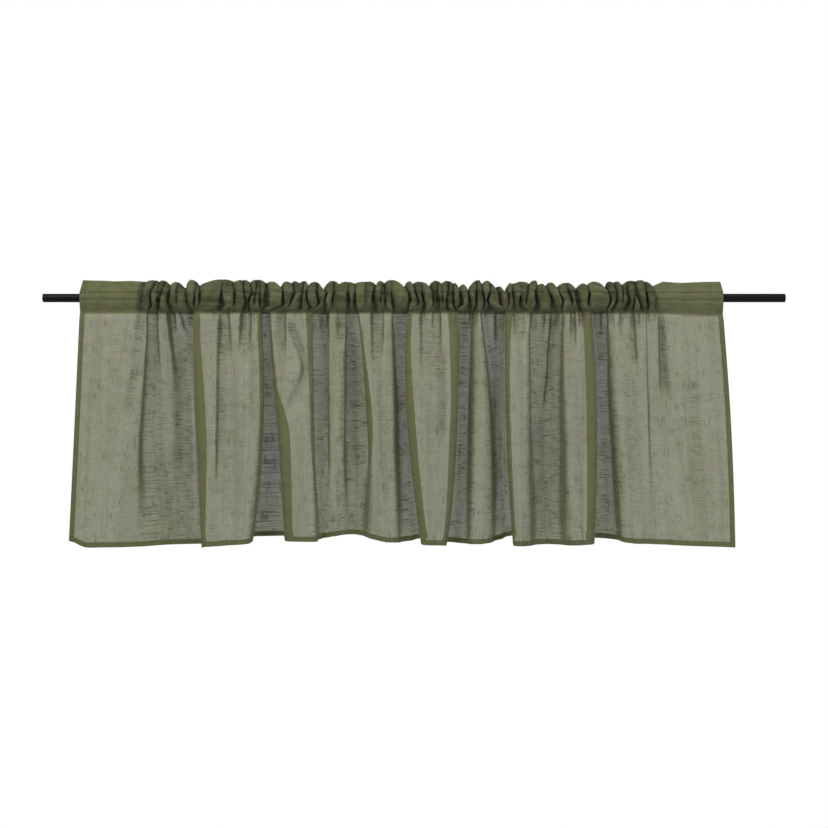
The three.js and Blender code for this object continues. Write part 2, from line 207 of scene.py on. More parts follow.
# Small valleys (below 0, ridges) that run down from the heading's gathers into the wide folds: the fold each
# is in, its two edges at the stitches and at its lower end, how far down it reaches, and its depth.
SMALL_FOLDS = (
    # fold  at the stitches   at its end    reach  depth
    (1, -483, -462, -479, -446, 0.36, -16),
    (1, -450, -440, -444, -418, 0.17, -9),
    (2, -362, -346, -360, -338, 0.26, 11),
    (2, -322, -304, -326, -306, 0.26, 13),
    (2, -300, -292, -300, -292, 0.10, 5),
    (4, -256, -240, -262, -240, 0.34, 11),
    (5, -176, -163, -174, -163, 0.20, 6),
    (6, -144, -128, -142, -128, 0.22, 11),
    (8, -79, -57, -76, -60, 0.32, 11),
    (8, -64, -61, -64, -61, 0.10, -5),
    (10, 13, 50, 14, 48, 0.34, 7),
    (10, 27, 35, 28, 34, 0.12, -5),
    (13, 137, 151, 140, 150, 0.20, -6),
    (13, 154, 169, 156, 166, 0.28, 9),
    (14, 187, 205, 188, 208, 0.18, 9),
    (15, 238, 246, 238, 243, 0.16, 8),
    (16, 293, 301, 292, 299, 0.22, 10),
    (16, 309, 316, 309, 314, 0.14, 7),
    (17, 340, 352, 342, 352, 0.18, 7),
    (18, 385, 393, 386, 392, 0.16, 7),
)

# Soft creases pressed in the skirt: the fold each is in, its place at its upper end, half-way and at its
# lower end, the levels it runs between, its half width, how far back it is pressed, and its side (0 is a
# trough; 1 or -1 is the edge of a flap, behind which the cloth to its right or left lies back).
SKIRT_CREASES = (
    # fold  x upper  middle  lower  from   to    width depth side
    (0, -507, -520, -542, -0.02, 0.50, 9, 7, 0),
    (1, -468, -460, -457, 0.18, 0.85, 13, -8, 0),
    (1, -440, -436, -434, 0.14, 0.80, 12, 9, 0),
    (1, -466, -462, -458, 0.55, 1.45, 32, 8, 0),
    (1, -419, -413, -408, 0.25, 1.02, 8, -7, 0),
    (2, -364, -365, -367, -0.02, 0.80, 13, 9, 1),
    (2, -300, -296, -292, 0.10, 0.55, 7, 4, 0),
    (2, -340, -334, -338, 0.30, 0.95, 16, 4, 0),
    (4, -236, -208, -240, 0.02, 0.47, 12, 12, 1),
    (5, -160, -160, -158, -0.02, 0.58, 9, 13, -1),
    (7, -112, -108, -100, 0.10, 0.90, 7, 5, 0),
    (8, -60, -56, -52, 0.25, 0.95, 12, 5, 0),
    (10, 20, 26, 30, 0.10, 0.70, 9, 4, 0),
    (10, 50, 49, 46, 0.14, 0.62, 9, 9, 0),
    (13, 156, 158, 162, 0.10, 0.90, 7, 5, 0),
    (15, 259, 252, 244, -0.02, 0.46, 8, 11, 1),
    (15, 232, 236, 240, 0.45, 1.00, 14, 7, 0),
    (16, 305, 306, 304, 0.20, 0.90, 10, 4, 0),
    (18, 409, 413, 417, -0.02, 0.26, 13, 10, -1),
    (18, 404, 408, 414, 0.24, 0.95, 14, 5, 0),
    (20, 458, 463, 474, -0.02, 0.42, 9, 11, 0),
    (20, 520, 524, 530, 0.25, 0.95, 18, 5, 0),
)


# ---- small helpers

def mix(a, b, t):
    return a + (b - a) * t


def smooth(t):
    c = np.clip(t, 0.0, 1.0)
    return c * c * (3 - 2 * c)


def at_level(three, h):
    """A size given at top, middle and hem, read at level h on the parabola through them."""
    top, middle, hem = three
    return top * (2 * h - 1) * (h - 1) + middle * 4 * h * (1 - h) + hem * h * (2 * h - 1)


def eased(three, h):
    """The same, passing smoothly from one to the next."""
    top, middle, hem = three
    return mix(top, middle, float(smooth(2 * h))) if h < 0.5 else mix(middle, hem, float(smooth(2 * h - 1)))


def uneven(x, length, bend, long_length, shift=0.0, long_shift=0.0):
    """Waves of about this length, drawn closer and wider along a longer one, so that no two are alike."""
    return np.sin(x / length + shift + bend * np.sin(x / long_length + long_shift))


def share_of(wave):
    return 0.5 + 0.5 * wave


def bell(t):
    return np.exp(-t ** 2)


# ---- the folds of the skirt

def turn_at(i, h):
    """The two corners of the turn from fold i into the next."""
    back, edge, tuck, start = FOLDS[i][:4]
    x, behind = at_level(edge, h), eased(tuck, h)
    if start:
        behind = mix(BEFORE_DOUBLING, behind, float(smooth((h - start) / DOUBLING_REACH)))
    y_end, y_start = at_level(back, h), at_level(FOLDS[i + 1][0], h)
    ease = EASE * float(np.clip(behind / EASED_FULLY, 0, 1))
    if y_end < y_start:
        return (x + ease, y_end), (x - behind - ease, y_start)
    return (x + behind + ease, y_end), (x - ease, y_start)


def towards(a, b, distance):
    length = math.hypot(b[0] - a[0], b[1] - a[1])
    t = min(distance / max(length, 1e-6), 1 / 3)
    return (mix(a[0], b[0], t), mix(a[1], b[1], t))


def fold_keys(i, h):
    """Key points of fold i at level h: half of the turn before it, its rounded corners and bowed middle."""
    y = at_level(FOLDS[i][0], h)
    before = turn_at(i - 1, h) if i > 0 else None
    after = turn_at(i, h) if i < FOLD_COUNT - 1 else None
    left = before[1] if before else (at_level(SIDE_LEFT, h), y)
    right = after[0] if after else (at_level(SIDE_RIGHT, h), y)
    room = (right[0] - left[0]) / 3
    softness = mix(SHARP_AT_TOP, SOFT_AT_HEM, h)
    soft_left, soft_right = FOLDS[max(i - 1, 0)][5] * softness, FOLDS[i][5] * softness
    bow = math.copysign(min(BOW, BOW_SHARE * (right[0] - left[0])), y)
    middle = ((left[0] + right[0]) / 2, y + bow)
    if not before:
        return [left, (left[0] + HEM_WIDTH, y), (left[0] + 3 * HEM_WIDTH, y), middle,
                (right[0] - min(soft_right, room), y), towards(right, after[1], soft_right)]
    entry = ((before[0][0] + left[0]) / 2, (before[0][1] + left[1]) / 2)
    keys = [entry, towards(left, before[0], soft_left), (left[0] + min(soft_left, room), y), middle]
    if not after:
        return keys + [(right[0] - 3 * HEM_WIDTH, y), (right[0] - HEM_WIDTH, y), right]
    return keys + [(right[0] - min(soft_right, room), y), towards(right, after[1], soft_right)]


def section_keys(h):
    return np.array([key for i in range(FOLD_COUNT) for key in fold_keys(i, h)])


def smooth_curve(keys, position):
    """Points on a smooth curve through the keys, at positions counted in keys."""
    steps = np.diff(keys, axis=0)
    lengths = np.maximum(np.hypot(steps[:, 0], steps[:, 1]), 1e-6)
    slopes = steps / lengths[:, None]
    tangents = np.empty_like(keys)
    before, after = lengths[:-1, None], lengths[1:, None]
    tangents[1:-1] = (slopes[:-1] * after + slopes[1:] * before) / (before + after)
    tangents[0], tangents[-1] = slopes[0], slopes[-1]
    k = np.minimum(position.astype(int), len(keys) - 2)
    t = (position - k)[:, None]
    length = lengths[k][:, None]
    a, b = keys[k], keys[k + 1]
    ta, tb = tangents[k] * length, tangents[k + 1] * length
    t2, t3 = t * t, t * t * t
    return (2 * t3 - 3 * t2 + 1) * a + (t3 - 2 * t2 + t) * ta + (3 * t2 - 2 * t3) * b + (t3 - t2) * tb


# ---- the gathers of the heading

LIFT = 13.0  # how far a full gather stands out from the rod
LIFT_SPREAD = 0.22  # by what share the gathers differ in it
FULL_WIDTH, LEAST_LIFT = 13, 0.55  # a gather this wide stands out fully, and the narrowest by this share
LIP, LIP_LIFT = 1.5, 0.95  # reach of a gather's rounded lip, and its share of the lift
FLOOR_WIDTH = 0.7  # the share of a crease's opening that is its floor
CLOSING = 1.5  # a crease that is open by less than this is closing
SWAY, TILT = 2.6, 2.2  # how far a crease's floor wanders, and a gather's middle leans in or out
CROWN, CROWN_SHARE = 2.4, 0.12  # how much further the middle stands out, at most in share
CROWN_SHIFT = 0.12  # how far along the width the middle wanders
END_LIFTS = (1.5, 1.0)  # how far the cloth stands out before the first crease and after the last
END_REACH, END_RISE = 60, 0.6  # a point of the flat ends: how far in, and how far out
FIRST_RISE, LAST_RISE = (12, 1.2), (16, 0.8)  # and this far from the first and last crease
DEEPEST = -0.4  # the cloth sinks no further than this towards the rod
PLACE_LEVELS = (-22.0, -6.0, 9.0, 25.0)  # the heights the table speaks of
OPEN_LEVELS = (-20.0, 6.0, 25.0)
END_KEYS = 4  # key points of a flat end
GATHER_KEYS = 5  # key points of a crease and the gather to its right
MID_CREASE = 1.5  # from a crease's first key point to the middle of its floor
GATHER_COUNT = len(GATHERS)
LAST_HEADING_KEY = 2 * END_KEYS + GATHER_KEYS * GATHER_COUNT - 2


def heading_keys(z):
    """Key points of the heading at height z: the place along the rod, and how far the cloth stands out (0 is
    down on the rod). The numbers inside the sines only keep the gathers from matching."""
    place = [float(np.interp(z, PLACE_LEVELS, g[3::-1])) for g in GATHERS]
    opened = [float(np.interp(z, OPEN_LEVELS, g[6:3:-1])) for g in GATHERS]
    level = []
    for i in range(GATHER_COUNT - 1):
        width = place[i + 1] - place[i]
        uneven = 1 - LIFT_SPREAD + LIFT_SPREAD * math.sin(2.4 * i + z / 11) * math.cos(0.7 * i)
        level.append(LIFT * uneven * min(1.0, max(LEAST_LIFT, width / FULL_WIDTH)))
    level = [END_LIFTS[0]] + level + [END_LIFTS[1]]
    left, right = SIDE_LEFT[0], SIDE_RIGHT[0]
    keys = [(left, 0.0), (left + HEM_WIDTH, 0.0), (left + END_REACH, END_RISE),
            (place[0] - FIRST_RISE[0], FIRST_RISE[1])]
    for i, gather in enumerate(GATHERS):
        x, half, depth = place[i], opened[i] / 2, gather[7]
        formed = float(smooth(opened[i] / CLOSING))
        before, after = level[i], level[i + 1]
        floor = mix((before + after) / 2, min(before, after) * (1 - depth), formed)
        sway = SWAY * math.sin(1.9 * i + z / 14) * formed
        room_left = (x - place[i - 1]) / 4 if i else LIP
        room_right = (place[i + 1] - x) / 4 if i < GATHER_COUNT - 1 else LIP
        lip_left, lip_right = half + min(LIP, room_left), half + min(LIP, room_right)
        keys += [(x - lip_left, before * LIP_LIFT), (x - FLOOR_WIDTH * half + sway, floor),
                 (x + FLOOR_WIDTH * half + sway, floor), (x + lip_right, after * LIP_LIFT)]
        if i < GATHER_COUNT - 1:
            next_lip = place[i + 1] - opened[i + 1] / 2 - LIP
            gap = next_lip - x - lip_right
            tilt = TILT * math.sin(3.1 * i + z / 7)
            crown = after + min(CROWN, CROWN_SHARE * gap) + tilt
            keys.append((x + lip_right + gap * (0.5 + CROWN_SHIFT * math.sin(5.3 * i)), crown))
    keys += [(place[-1] + LAST_RISE[0], LAST_RISE[1]), (right - END_REACH, END_RISE),
             (right - HEM_WIDTH, 0.0), (right, 0.0)]
    return np.array(keys)


# ---- the columns of the cloth

COLUMN_PITCH = 2.45  # of cloth between two upright lines of the mesh
FOLLOW = 0.6  # how closely the skirt's columns follow the heading's creases
EVEN_STEP, EVEN_REACH = 0.5, 24  # the columns are evened out in these steps, over so many either way
FINE = 30  # places measured between two key points
SKIRT_LEVELS = (0.2, 0.5, 0.8, 1.0)  # where the cloth is measured
HEADING_LEVELS = (-18, -6, 18)
FOOT, FOOT_MEASURED = -21.0, -20  # the heading's foot, and where the skirt is set against it
SHALLOW, SHALLOW_PENALTY = 0.8, 6  # shallow creases count as this much further off
HEADING_SHARE = 0.4  # the heading's share in the length of the flat cloth


def lengths_along(keys, levels, last):
    """Length of cloth up to every fine position counted in keys."""
    fine = np.linspace(0, last, last * FINE + 1)
    total = np.zeros(len(fine) - 1)
    for level in levels:
        total += np.hypot(*np.diff(smooth_curve(keys(level), fine), axis=0).T) / len(levels)
    return fine, np.concatenate([[0], np.cumsum(total)])


def evened(share, length):
    """share, known at every length of cloth, averaged over the cloth near by."""
    even = np.linspace(0, length[-1], int(length[-1] / EVEN_STEP) + 2)
    values = np.interp(even, length, share)
    reach = min(EVEN_REACH, len(values) - 1)
    before, after = 2 * values[0] - values[reach:0:-1], 2 * values[-1] - values[-2:-reach - 2:-1]
    wide = np.concatenate([before, values, after])
    values = np.convolve(wide, np.ones(2 * reach + 1) / (2 * reach + 1), mode="valid")
    return np.interp(length, even, values)


def rising(x, first, last):
    """x made to rise steadily from first to last."""
    x = np.maximum.accumulate(np.clip(x, first, last))
    return x + np.linspace(0, 1e-3, len(x))


def make_columns():
    """The place of every column in the keys of the skirt and of the heading. Every fold edge runs up into
    the nearest crease. Between them the columns are even in the heading, and closer under its creases."""
    skirt, skirt_length = lengths_along(section_keys, SKIRT_LEVELS, FOLD_COUNT * KEYS)
    heading, heading_length = lengths_along(heading_keys, HEADING_LEVELS, LAST_HEADING_KEY)
    skirt_x = smooth_curve(section_keys(0), skirt)[:, 0]
    heading_x = smooth_curve(heading_keys(FOOT_MEASURED), heading)[:, 0]
    pairs = [(0, 0)]
    last_crease = -1
    for i in range(FOLD_COUNT - 1):
        x = FOLDS[i][1][0] - max(0, FOLDS[i][2][0]) / 2 * (1 if i % 2 else -1)
        far = [abs(g[3] - x) + (SHALLOW_PENALTY if g[7] < SHALLOW else 0) for g in GATHERS[last_crease + 1:]]
        last_crease += 1 + int(np.argmin(far))
        pairs.append(((i + 1) * KEYS, END_KEYS + GATHER_KEYS * last_crease + MID_CREASE))
    pairs.append((FOLD_COUNT * KEYS, LAST_HEADING_KEY))
    in_skirt, in_heading, along = [0.0], [0.0], [0.0]
    for (s0, h0), (s1, h1) in zip(pairs, pairs[1:]):
        s = (skirt >= s0) & (skirt <= s1)
        h = (heading >= h0) & (heading <= h1)
        s_length, h_length = skirt_length[s] - skirt_length[s][0], heading_length[h] - heading_length[h][0]
        first, last = heading_x[h][0], heading_x[h][-1]
        # share of the heading's cloth to the left of every place
        share = np.interp(rising(skirt_x[s], first, last), rising(heading_x[h], first, last),
                          h_length / h_length[-1])
        share[0], share[-1] = 0, 1
        share = mix(s_length / s_length[-1], evened(share, s_length), FOLLOW)
        width = max(s_length[-1], h_length[-1])
        count = max(3, round(width / COLUMN_PITCH))
        t = np.arange(1, count + 1) / count
        in_skirt += list(np.interp(t, share, skirt[s]))
        in_heading += list(np.interp(t * h_length[-1], h_length, heading[h]))
        along += list(along[-1] + mix(s_length[-1], h_length[-1], HEADING_SHARE) * t)
    in_skirt[-1], in_heading[-1] = FOLD_COUNT * KEYS, LAST_HEADING_KEY
    return np.array(in_skirt), np.array(in_heading), np.array(along)


POSITIONS, HEADING_POSITIONS, ALONG = make_columns()
COLUMN_COUNT = len(POSITIONS)
FOLD_OF = np.minimum((POSITIONS / KEYS).astype(int), FOLD_COUNT - 1)


def heading_curve(z):
    """Where every column stands along the rod at height z of the heading, and how far out."""
    curve = smooth_curve(heading_keys(z), HEADING_POSITIONS)
    return curve[:, 0], np.maximum(curve[:, 1], DEEPEST)


# 1 where the heading is gathered, passing to 0 beside the first and the last crease
PASSING, PASSING_RIGHT = 14, 8
FOOT_X, FOOT_OUT = heading_curve(FOOT)
GATHERED = (smooth((FOOT_X - GATHERS[0][3] + PASSING) / PASSING)
            * smooth((GATHERS[-1][3] + PASSING_RIGHT - FOOT_X) / PASSING))


def frill_edge():
    """The height of the frill's top edge: rounded humps with sharp notches between."""
    x = heading_curve(FRILL_LEVEL)[0]
    z = np.interp(x, *zip(*FRILL_LEFT, *FRILL_RIGHT))
    start, low = FRILL_LEFT[-1]
    for hump, high, notch, notch_z in FRILL_HUMPS:
        left = (x >= start) & (x <= hump)
        right = (x >= hump) & (x <= notch)
        z[left] = mix(low, high, np.sin(np.pi / 2 * (x[left] - start) / (hump - start)) ** HUMP_SHAPE)
        z[right] = mix(notch_z, high, np.sin(np.pi / 2 * (notch - x[right]) / (notch - hump)) ** HUMP_SHAPE)
        start, low = notch, notch_z
    return z


EDGE_Z = frill_edge()


def normals_of(xy):
    """Level normals of a row, towards the back of the cloth."""
    d = np.gradient(xy, axis=0)
    n = np.stack([-d[:, 1], d[:, 0]], axis=1)
    return n / np.maximum(np.hypot(n[:, 0], n[:, 1]), 1e-9)[:, None]


# ---- rows of the skirt

CORNER_LIFT, CORNER_WIDTH = 14.0, 47.0  # how the left-hand bottom corner is rounded
CRISP_TURN, SOFT_TURN = 4, 9  # how soft a crisp and a soft turn are
CRISP_REACH, SOFT_REACH = 1.2, 2.4  # key points over which the hem's height changes


def hem_height():
    """The height of the hem. It changes behind the edge of a crisp turn, and over much of a soft one."""
    ends = np.array([fold[4] for fold in FOLDS], dtype=float)
    t = POSITIONS / KEYS - FOLD_OF
    height = mix(ends[FOLD_OF, 0], ends[FOLD_OF, 1], smooth(t))
    on_left = t < 0.5
    edge = np.where(on_left, np.maximum(FOLD_OF - 1, 0), np.minimum(FOLD_OF, FOLD_COUNT - 2))
    met = np.where(on_left, ends[edge, 1], ends[edge + 1, 0])
    met[(FOLD_OF == 0) & on_left] = ends[0, 0]
    met[(FOLD_OF == FOLD_COUNT - 1) & ~on_left] = ends[-1, 1]
    turn = np.array([fold[5] for fold in FOLDS], dtype=float)[edge]
    softness = smooth((turn - CRISP_TURN) / (SOFT_TURN - CRISP_TURN))
    reach = mix(CRISP_REACH / KEYS, SOFT_REACH / KEYS, softness)
    share = 0.5 * (1 - smooth(np.minimum(t, 1 - t) / reach))
    return mix(height, met, share) + CORNER_LIFT * (1 - smooth(ALONG / CORNER_WIDTH)) ** 2


HEM_Z = hem_height()


STITCH_FALL, FALL_FROM, FALL_OVER = 4.5, 440, 120


def stitch_drop(x):
    """The lower stitches run a little lower towards the right-hand end."""
    return LOWER_STITCH - STITCH_FALL * smooth((x - FALL_FROM) / FALL_OVER)


SLACK = 1.4  # depth of the waves in cloth that hangs free
LONG_WAVE, SHORT_WAVE, SHORT_SHARE = 21.0, 11.3, 0.8


def slack(h):
    """Shallow waves, so that no face of a fold is quite flat."""
    short = uneven(ALONG, SHORT_WAVE, 2.0, 130, -2.4 * h, 2 * h)
    return SLACK * (uneven(ALONG, LONG_WAVE, 1.3, 190, 1.6 * h, 2 * h) + SHORT_SHARE * short)


SMALL_WALL, SMALL_WALL_END = 4.6, 13.6  # width of a small fold's walls at its top and end
SMALL_FADES_FROM = 0.2  # from this share of its reach a small fold dies out
FLAP_WALL, SLOPING_WALL = 5.0, 3.0  # width of the step at a flap's edge, and how much wider at a slant
SLOPE_STEP = 0.02  # over which the slant is measured
CREASE_GROWS, CREASE_FADES = 0.15, 0.25  # over these shares of its length
# 1 on a fold, passing to 0 in the turns at its two sides
WITHIN = [smooth(into) * smooth(KEYS - into) for into in [POSITIONS - i * KEYS for i in range(FOLD_COUNT)]]


def pressed(curve, h):
    """How far back the small folds and creases press the cloth at level h."""
    x = curve[:, 0]
    depth = np.zeros_like(x)
    for fold, left, right, left_end, right_end, reach, deep in SMALL_FOLDS:
        if h > reach:
            continue
        t = max(h, 0) / reach
        wall = SMALL_WALL + (SMALL_WALL_END - SMALL_WALL) * t
        a, b = mix(left, left_end, t), mix(right, right_end, t)
        inside = smooth((x - a + wall / 2) / wall) * smooth((b - x + wall / 2) / wall)
        depth += deep * inside * WITHIN[fold] * (1 - smooth((t - SMALL_FADES_FROM) / (1 - SMALL_FADES_FROM)))
    for fold, upper, middle, lower, start, end, width, deep, side in SKIRT_CREASES:
        if not start < h < end:
            continue
        t = (h - start) / (end - start)
        strength = smooth(t / CREASE_GROWS) * (1 - smooth((t - 1 + CREASE_FADES) / CREASE_FADES))
        place = (upper, middle, lower)
        past = x - eased(place, t)
        slope = abs(eased(place, t + SLOPE_STEP) - eased(place, t - SLOPE_STEP))
        wall = FLAP_WALL + SLOPING_WALL * slope
        bump = bell(past / width)
        if side:
            bump = bump * smooth(0.5 + side * past / wall)
        depth += deep * strength * bump * WITHIN[fold]
    return depth


# From which slants (0 faces the front, 1 the side) a wall closes and gets painted shade, over which reach.
CLOSES_FROM, SHADES_FROM, SLANT_REACH = 0.06, 0.25, 0.5
WALL_CLOSED, WALL_SHADE = 0.9, 0.42  # how far it is closed, and how much shade is painted on it
# In a valley the weave is closed a little and a little shade is painted on, both to darken it as shade would.
VALLEY_CLOSED, VALLEY_SHADE = 0.16, 0.11
VALLEY_FROM, VALLEY_DEPTH = -2, 18  # where a valley begins, and its full depth
HOLLOW_DEPTH, HOLLOW_SHARE = 8, 1.1  # depth of a full hollow, and how much it counts
MOST_RIDGE, MOST_HOLLOW, MOST_VALLEY = -1, 1.2, 1.8


def how_lit(xy, hollow):
    """How far the weave of a row is pulled shut, and how much shade is painted on it: a little in a valley or
    a hollow, and most where the cloth turns edgewise in the wall of a fold."""
    d = np.gradient(xy, axis=0)
    slant = 1 - np.abs(d[:, 0]) / np.maximum(np.hypot(d[:, 0], d[:, 1]), 1e-6)
    sunk = HOLLOW_SHARE * np.clip(hollow / HOLLOW_DEPTH, MOST_RIDGE, MOST_HOLLOW)
    valley = np.clip(smooth((xy[:, 1] - hollow - VALLEY_FROM) / VALLEY_DEPTH) + sunk, 0, MOST_VALLEY)
    closed = np.maximum(WALL_CLOSED * smooth((slant - CLOSES_FROM) / SLANT_REACH), VALLEY_CLOSED * valley)
    shade = np.maximum(WALL_SHADE * smooth((slant - SHADES_FROM) / SLANT_REACH), VALLEY_SHADE * valley)
    return closed, shade


SLACK_FORMED = 0.15  # the level from which the cloth hangs free
RUN_ON, RUN_ON_REACH, RUN_ON_MEAN = 0.7, 0.10, 0.6  # the gathers just below the stitches
HELD_FLAT, ABOVE_STITCHES = 0.35, 0.004  # the folds' depth at the stitches


def skirt_row(h, back=0.0):
    """The cloth at level h of the skirt, set off by back behind the face, with how far it is closed and how
    much shade is painted on it."""
    xy = smooth_curve(section_keys(h), POSITIONS)
    xy = xy - normals_of(xy) * (slack(h) * smooth(h / SLACK_FORMED))[:, None]
    # the gathers run on below the stitches and die out
    hollow = pressed(xy, h)
    xy[:, 1] += hollow - RUN_ON * (FOOT_OUT - RUN_ON_MEAN * LIFT) * GATHERED * (1 - smooth(h / RUN_ON_REACH))
    closed, shade = how_lit(xy, hollow)
    # the stitches hold the folds almost flat
    xy[:, 1] *= mix(HELD_FLAT, 1.0, float(smooth((h + ABOVE_STITCHES) / FORMED)))
    if back:
        xy = xy + normals_of(xy) * back
    z = mix(stitch_drop(xy[:, 0]), HEM_Z, h)
    return np.column_stack([xy, z]), closed, shade


STITCHED = skirt_row(0.0)[0]


# ---- rows of the heading

# The pocket between the stitches: height, distance from the rod's axis where no gather lifts it, and how far
# it has opened from the stitches.
FRONT_SECTION = ((-24.6, 2.4, 0.3), (-23, 3.6, 0.6), (-20.8, 4.8, 0.82), (-18, 6, 0.95), (-14.5, 7.3, 1),
                 (-11, 8.2, 1), (-8.2, 8.9, 1), (-5.9, 9.2, 1), (-4.2, 9.4, 1), (-2.5, 9.5, 1), (0.5, 9.6, 1),
                 (3.6, 9.3, 0.95), (5.8, 8.8, 0.8), (7.6, 8.4, 0.55), (9, 8.1, 0.25))
BACK_SECTION = ((9.8, 2.6, 0.3), (8.8, 5.2, 0.8), (6, 7.8, 1), (0, 9.3, 1), (-5, 9, 1), (-11, 7.2, 1),
                (-18, 4.8, 0.85), (-23.5, 2.4, 0.35))
INSET_SHAPE = 9  # the higher, the closer to the side edges the inset stays


def inset(x, z):
    """The side edges slope in a little above the upper stitches."""
    share = np.clip((z - UPPER_STITCH) / (FRILL_TOP - UPPER_STITCH), 0, 1)
    middle, half = (SIDE_LEFT[0] + SIDE_RIGHT[0]) / 2, (SIDE_RIGHT[0] - SIDE_LEFT[0]) / 2
    return FRILL_INSET * share * ((x - middle) / half) ** INSET_SHAPE


ROUND_SHARE, SHARP_SHARE, RIDGE_SHAPE = 0.6, 0.6, 0.7


def puckers(x, z):
    """Uneven swelling of the gathered cloth between the stitches: round swellings and sharp ridges."""
    a, b = uneven(x, 5.1, 2.0, 37, z / 6.0), uneven(x, 9.7, 2.3, 51, -z / 4.2)
    sharp = 1 - 2 * np.abs(uneven(x, 12.0, 1.7, 33, z / 10.0, -z / 12)) ** RIDGE_SHAPE
    return (ROUND_SHARE * a * b + SHARP_SHARE * sharp) * GATHERED


SEAM_OUT = 7.6  # how far before the rod's axis the upper stitches lie
HELD, HELD_SPREAD = 0.82, 0.16  # share of the gathers' lift left there, and how it varies
WANDER, WANDER_GATHERED = 0.2, 1.3  # how far they run up and down, at the ends and between


def seam():
    """The upper stitches draw the gathers together, here more and there less."""
    x, out = heading_curve(UPPER_STITCH)
    held = HELD + HELD_SPREAD * uneven(x, 19, 2, 47)
    z = UPPER_STITCH + (WANDER + WANDER_GATHERED * GATHERED) * uneven(x, 7.3, 2.0, 29)
    return x, -SEAM_OUT - held * out, z


SEAM_X, SEAM_Y, SEAM_Z = seam()


# which gather a column is in, and how much shade is painted on that gather, as if it leaned away from the
# light
GATHER_OF = np.floor((HEADING_POSITIONS - END_KEYS - MID_CREASE) / GATHER_KEYS)
GATHER_SHADE_SHARE = share_of(np.sin(4.1 * GATHER_OF))

# How much shade is painted on each part of the heading (1 is black).
SOFT_SHADE = 0.42  # beside a crease, up to the crown of the gather
PIT_SHADE = 0.5  # the pit at the foot of a crease
PIT_Z, PIT_HEIGHT, LEAST_PIT = -17.0, 5.0, 0.3
PINCH_SHADE = 0.24  # the crowded cloth over the upper stitches
PINCH_ABOVE, PINCH_HEIGHT = 1.5, 6.0
FACE_SHADE, PAD_SHADE = 0.08, 0.24  # the face of every gather, and of those that lean away
FACE_FROM, FACE_OVER = -20, 14  # from where, and over which height
BLOTCH_SHADE = 0.14
# How far out the cloth is free of painted shade, and how much deeper the painted shade is full, in parts of
# LIFT.
IN_CREASE, IN_PIT, BESIDE = (0.60, 0.55), (0.95, 0.6), (1.05, 0.8)
# Painted shade taken off again: where something stands in a crease, in creases at the foot, and on a
# swelling.
BROKEN_LIGHT, FOOT_LIGHT, PUCKER_LIGHT = 0.42, 0.32, 0.13
FOOT_FROM, FOOT_OVER = -8.0, 8


def in_shade(out, x, z):
    """How much shade is painted on every point of a row."""

    def sunk(start, span):
        return smooth((start * LIFT - out) / (span * LIFT))

    broken = share_of(uneven(z, 3.1, 1.4, 5.0, 2.3 * GATHER_OF, GATHER_OF))
    crowded = share_of(uneven(x, 15.0, 2.3, 41))
    blotch = share_of(uneven(x, 6.3, 2, 23, z / 7.0, -z / 9))
    crease = sunk(*IN_CREASE) * (1 - BROKEN_LIGHT * broken)
    pit = bell((z - PIT_Z) / PIT_HEIGHT) * sunk(*IN_PIT)
    pinch = bell((z - UPPER_STITCH - PINCH_ABOVE) / PINCH_HEIGHT)
    face = (FACE_SHADE + PAD_SHADE * GATHER_SHADE_SHARE) * smooth((z - FACE_FROM) / FACE_OVER)
    foot = smooth((FOOT_FROM - z) / FOOT_OVER)
    shade = np.maximum(crease, SOFT_SHADE * sunk(*BESIDE)) * (1 - FOOT_LIGHT * foot)
    shade = shade + face + PINCH_SHADE * crowded * pinch + BLOTCH_SHADE * blotch
    shade = shade + PIT_SHADE * pit * mix(LEAST_PIT, 1, crowded)
    return np.clip(shade - PUCKER_LIGHT * puckers(x, z), 0, 1) * GATHERED


WRINKLE, WRINKLE_Z, WRINKLE_HEIGHT = 1.7, -4.2, 1.4  # a level wrinkle on the flat ends
PUCKER_LIFT, PUCKER_SUNK = 1.9, -0.6  # how far a pucker swells, and how far it sinks at most
HALF_LAYERS = 0.45  # half the distance between two layers sewn together
SPREAD_OVER = 14  # height over which the skirt passes into the heading
FALL_PASSES = 20  # and the fall of the lower stitches dies out


def under_rod(x, y, z, opened, layer):
    """A row of the pocket under the rod: at its foot it lies on the stitched skirt, off it by layer."""
    spread = float(smooth((z - LOWER_STITCH) / SPREAD_OVER))
    return mix(STITCHED[:, 0], x, spread), mix(STITCHED[:, 1] + layer, y, opened)


def fallen(x, z):
    """Height z, lower where the lower stitches run lower."""
    return z + (stitch_drop(x) - LOWER_STITCH) * smooth(-z / FALL_PASSES)


def pocket_front(z, reach, opened):
    x, out = heading_curve(z)
    wrinkle = WRINKLE * bell((z - WRINKLE_Z) / WRINKLE_HEIGHT) * (1 - GATHERED)
    y = wrinkle - (reach + np.maximum(out + PUCKER_LIFT * puckers(x, z), PUCKER_SUNK))
    if z > 0:
        x, y = mix(SEAM_X, x, smooth(opened)), mix(SEAM_Y, y, opened)
        level = z + (SEAM_Z - UPPER_STITCH) * (1 - opened)
    else:
        x, y = under_rod(x, y, z, opened, -HALF_LAYERS)
        level = fallen(x, z)
    return np.column_stack([x, y, level]), in_shade(out, x, z)


BACK_SWELL = 0.75  # by this share the creases swell out at the back


def pocket_back(z, reach, opened):
    x, out = heading_curve(z)
    y = reach + BACK_SWELL * np.maximum(LIFT - out, 0) * GATHERED
    if z > 0:
        y = mix(SEAM_Y + 2 * HALF_LAYERS, y, opened)
    else:
        x, y = under_rod(x, y, z, opened, HALF_LAYERS)
    return np.column_stack([x, y, fallen(x, z)]), 0 * x


LEAN = 2.6  # how far the frill leans to and fro at its top edge
FRILL_Y, FRILL_SWING, FRILL_MEAN = -4.0, 1.15, 0.45  # where it stands, and how far it swings in and out
STANDS_OVER, OPENS_OVER = 0.6, 0.2  # over these shares of its height it comes to stand so, and opens
FLAT_PUFF = 0.4  # the flat ends are puffed by this share


